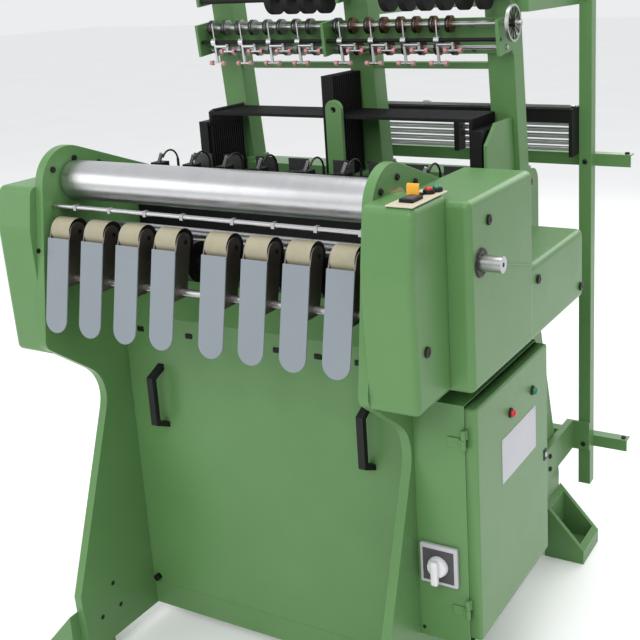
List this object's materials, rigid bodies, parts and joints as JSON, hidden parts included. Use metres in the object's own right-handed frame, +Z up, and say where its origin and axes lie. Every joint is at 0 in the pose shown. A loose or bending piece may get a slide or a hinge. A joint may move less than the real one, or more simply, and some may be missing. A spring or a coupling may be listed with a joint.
{
  "type": "narrow fabric needle loom",
  "caption": "Green floor-standing needle loom for narrow tapes: take-up rollers with grey release paddles, heald frames, yarn feeders, gear covers and control box.",
  "frame": {"origin": "centre of the four anchor holes, on the floor", "axes": "+X to the weaver's right, +Y from the weaver's side to the warp side, +Z up"},
  "size_m": [1.208, 1.273, 1.71],
  "materials": {
    "green_paint": "satin",
    "blue_grey_paint": "satin",
    "cream_rubber": "matte",
    "polished_chrome": "polished",
    "bright_steel": "brushed",
    "black_steel": "satin",
    "black_plastic": "matte",
    "brass": "satin",
    "belt_rubber": "matte",
    "red_plastic": "gloss",
    "teal_plastic": "gloss",
    "ivory_panel": "satin",
    "light_plastic": "satin"
  },
  "bodies": {
    "machine": {"left_side_frame": "green_paint", "right_side_frame": "green_paint", "machine_feet": "green_paint", "cross_beams": "green_paint", "front_cover": "green_paint", "front_sill": "green_paint", "left_gear_cover": "green_paint", "right_gear_cover": "green_paint", "control_box": "green_paint", "door_hinges": "green_paint", "gantry_columns": "green_paint", "feeder_plate": "green_paint", "rear_frame": "green_paint", "motor": "green_paint", "fixed_rods": "bright_steel", "breast_rail": "black_steel", "weaving_heads": "black_steel", "heald_combs": "black_steel", "feeder_brackets": "black_steel", "stop_motion": "black_steel", "fasteners": "black_steel", "cover_handles": "black_plastic", "roller_bearings": "brass", "drive_belts": "belt_rubber", "console_panel": "ivory_panel", "switch_plate": "light_plastic"},
    "takeup": {"takeup_shaft": "black_steel"},
    "chrome_roller": {"chrome_roller": "polished_chrome"},
    "main_shaft": {"main_shaft": "bright_steel"},
    "cross_shaft": {"cross_shaft": "bright_steel"},
    "motor_pulley": {"motor_pulley": "bright_steel"},
    "door": {"control_door": "green_paint", "door_fittings": "red_plastic"},
    "switch_knob": {"switch_knob": "light_plastic"},
    "stop_button": {"stop_button": "red_plastic"},
    "start_button": {"start_button": "teal_plastic"},
    "needles": {"needle_arms": "black_steel"},
    "sley": {"sley": "black_steel"},
    "healds_front": {"heald_frames_front": "black_steel"},
    "healds_rear": {"heald_frames_rear": "black_steel"},
    "upper_feeder": {"upper_feeder_shaft": "bright_steel"},
    "lower_feeder": {"lower_feeder_shaft": "bright_steel"},
    "tension_arms": {"tension_arms": "polished_chrome"},
    "supply": {"supply_rollers": "belt_rubber"},
    "paddle_1": {"paddle_lever_1": "blue_grey_paint"},
    "press_1": {"press_roller_1": "cream_rubber"},
    "paddle_2": {"paddle_lever_2": "blue_grey_paint"},
    "press_2": {"press_roller_2": "cream_rubber"},
    "paddle_3": {"paddle_lever_3": "blue_grey_paint"},
    "press_3": {"press_roller_3": "cream_rubber"},
    "paddle_4": {"paddle_lever_4": "blue_grey_paint"},
    "press_4": {"press_roller_4": "cream_rubber"},
    "paddle_5": {"paddle_lever_5": "blue_grey_paint"},
    "press_5": {"press_roller_5": "cream_rubber"},
    "paddle_6": {"paddle_lever_6": "blue_grey_paint"},
    "press_6": {"press_roller_6": "cream_rubber"},
    "paddle_7": {"paddle_lever_7": "blue_grey_paint"},
    "press_7": {"press_roller_7": "cream_rubber"},
    "paddle_8": {"paddle_lever_8": "blue_grey_paint"},
    "press_8": {"press_roller_8": "cream_rubber"}
  },
  "joints": [
    {"name": "main_shaft_spin", "type": "hinge", "parent": "machine", "child": "main_shaft", "pos_m": [0, -0.1, 1], "axis": [1, 0, 0], "continuous": true},
    {"name": "cross_shaft_spin", "type": "hinge", "parent": "machine", "child": "cross_shaft", "pos_m": [0, -0.34615, 1.13013], "axis": [1, 0, 0], "continuous": true},
    {"name": "takeup_spin", "type": "hinge", "parent": "machine", "child": "takeup", "pos_m": [0, -0.421, 1.092], "axis": [1, 0, 0], "continuous": true},
    {"name": "motor_spin", "type": "hinge", "parent": "machine", "child": "motor_pulley", "pos_m": [0.38, 0.15, 0.3], "axis": [1, 0, 0], "continuous": true},
    {"name": "chrome_roller_spin", "type": "hinge", "parent": "machine", "child": "chrome_roller", "pos_m": [0, -0.396, 1.252], "axis": [1, 0, 0], "continuous": true},
    {"name": "paddle_1_tilt", "type": "hinge", "parent": "machine", "child": "paddle_1", "pos_m": [-0.3745, -0.497, 1.045], "axis": [1, 0, 0], "range_deg": [0, 12], "stiffness_Nm_per_rad": 4, "springref_deg": -8.59},
    {"name": "press_roller_1_spin", "type": "hinge", "parent": "paddle_1", "child": "press_1", "pos_m": [-0.3745, -0.47106, 1.14958], "axis": [1, 0, 0], "continuous": true},
    {"name": "paddle_2_tilt", "type": "hinge", "parent": "machine", "child": "paddle_2", "pos_m": [-0.272, -0.497, 1.045], "axis": [1, 0, 0], "range_deg": [0, 12], "stiffness_Nm_per_rad": 4, "springref_deg": -8.59},
    {"name": "press_roller_2_spin", "type": "hinge", "parent": "paddle_2", "child": "press_2", "pos_m": [-0.272, -0.47106, 1.14958], "axis": [1, 0, 0], "continuous": true},
    {"name": "paddle_3_tilt", "type": "hinge", "parent": "machine", "child": "paddle_3", "pos_m": [-0.1695, -0.497, 1.045], "axis": [1, 0, 0], "range_deg": [0, 12], "stiffness_Nm_per_rad": 4, "springref_deg": -8.59},
    {"name": "press_roller_3_spin", "type": "hinge", "parent": "paddle_3", "child": "press_3", "pos_m": [-0.1695, -0.47106, 1.14958], "axis": [1, 0, 0], "continuous": true},
    {"name": "paddle_4_tilt", "type": "hinge", "parent": "machine", "child": "paddle_4", "pos_m": [-0.067, -0.497, 1.045], "axis": [1, 0, 0], "range_deg": [0, 12], "stiffness_Nm_per_rad": 4, "springref_deg": -8.59},
    {"name": "press_roller_4_spin", "type": "hinge", "parent": "paddle_4", "child": "press_4", "pos_m": [-0.067, -0.47106, 1.14958], "axis": [1, 0, 0], "continuous": true},
    {"name": "paddle_5_tilt", "type": "hinge", "parent": "machine", "child": "paddle_5", "pos_m": [0.067, -0.497, 1.045], "axis": [1, 0, 0], "range_deg": [0, 12], "stiffness_Nm_per_rad": 4, "springref_deg": -8.59},
    {"name": "press_roller_5_spin", "type": "hinge", "parent": "paddle_5", "child": "press_5", "pos_m": [0.067, -0.47106, 1.14958], "axis": [1, 0, 0], "continuous": true},
    {"name": "paddle_6_tilt", "type": "hinge", "parent": "machine", "child": "paddle_6", "pos_m": [0.1695, -0.497, 1.045], "axis": [1, 0, 0], "range_deg": [0, 12], "stiffness_Nm_per_rad": 4, "springref_deg": -8.59},
    {"name": "press_roller_6_spin", "type": "hinge", "parent": "paddle_6", "child": "press_6", "pos_m": [0.1695, -0.47106, 1.14958], "axis": [1, 0, 0], "continuous": true},
    {"name": "paddle_7_tilt", "type": "hinge", "parent": "machine", "child": "paddle_7", "pos_m": [0.272, -0.497, 1.045], "axis": [1, 0, 0], "range_deg": [0, 12], "stiffness_Nm_per_rad": 4, "springref_deg": -8.59},
    {"name": "press_roller_7_spin", "type": "hinge", "parent": "paddle_7", "child": "press_7", "pos_m": [0.272, -0.47106, 1.14958], "axis": [1, 0, 0], "continuous": true},
    {"name": "paddle_8_tilt", "type": "hinge", "parent": "machine", "child": "paddle_8", "pos_m": [0.3745, -0.497, 1.045], "axis": [1, 0, 0], "range_deg": [0, 12], "stiffness_Nm_per_rad": 4, "springref_deg": -8.59},
    {"name": "press_roller_8_spin", "type": "hinge", "parent": "paddle_8", "child": "press_8", "pos_m": [0.3745, -0.47106, 1.14958], "axis": [1, 0, 0], "continuous": true},
    {"name": "door_swing", "type": "hinge", "parent": "machine", "child": "door", "pos_m": [0.5623, -0.372, 0.5], "axis": [0, 0, -1], "range_deg": [0, 110]},
    {"name": "switch_turn", "type": "hinge", "parent": "machine", "child": "switch_knob", "pos_m": [0.496, -0.38, 0.445], "axis": [0, 1, 0], "range_deg": [0, 90]},
    {"name": "needle_swing", "type": "hinge", "parent": "machine", "child": "needles", "pos_m": [0, -0.1, 1.223], "axis": [1, 0, 0], "range_deg": [-12, 18]},
    {"name": "sley_swing", "type": "hinge", "parent": "machine", "child": "sley", "pos_m": [0, 0.03, 0.9], "axis": [1, 0, 0], "range_deg": [-7, 1.5]},
    {"name": "tension_arms_swing", "type": "hinge", "parent": "machine", "child": "tension_arms", "pos_m": [0, 0.14936, 1.52706], "axis": [1, 0, 0], "range_deg": [-10, 8], "stiffness_Nm_per_rad": 0.6},
    {"name": "upper_feeder_spin", "type": "hinge", "parent": "machine", "child": "upper_feeder", "pos_m": [0, 0.17774, 1.56323], "axis": [1, 0, 0], "continuous": true},
    {"name": "lower_feeder_spin", "type": "hinge", "parent": "machine", "child": "lower_feeder", "pos_m": [0, 0.18369, 1.50654], "axis": [1, 0, 0], "continuous": true},
    {"name": "supply_spin", "type": "hinge", "parent": "machine", "child": "supply", "pos_m": [0, 0.16304, 1.63609], "axis": [1, 0, 0], "continuous": true},
    {"name": "healds_front_lift", "type": "slide", "parent": "machine", "child": "healds_front", "axis": [0, 0, 1], "range_m": [-0.012, 0.012]},
    {"name": "healds_rear_lift", "type": "slide", "parent": "machine", "child": "healds_rear", "axis": [0, 0, 1], "range_m": [-0.012, 0.012]},
    {"name": "stop_button_press", "type": "slide", "parent": "machine", "child": "stop_button", "axis": [0, 0, -1], "range_m": [0, 0.004], "stiffness_N_per_m": 300, "springref_m": -0.002},
    {"name": "start_button_press", "type": "slide", "parent": "machine", "child": "start_button", "axis": [0, 0, -1], "range_m": [0, 0.004], "stiffness_N_per_m": 300, "springref_m": -0.002}
  ],
  "couplings": [
    {"joint": "cross_shaft_spin", "follows": "main_shaft_spin", "ratio": 0.5},
    {"joint": "takeup_spin", "follows": "main_shaft_spin", "ratio": -0.23684},
    {"joint": "motor_spin", "follows": "main_shaft_spin", "ratio": 2},
    {"joint": "needle_swing", "follows": "sley_swing", "ratio": -2},
    {"joint": "lower_feeder_spin", "follows": "upper_feeder_spin", "ratio": 1},
    {"joint": "healds_rear_lift", "follows": "healds_front_lift", "ratio": -1}
  ]
}
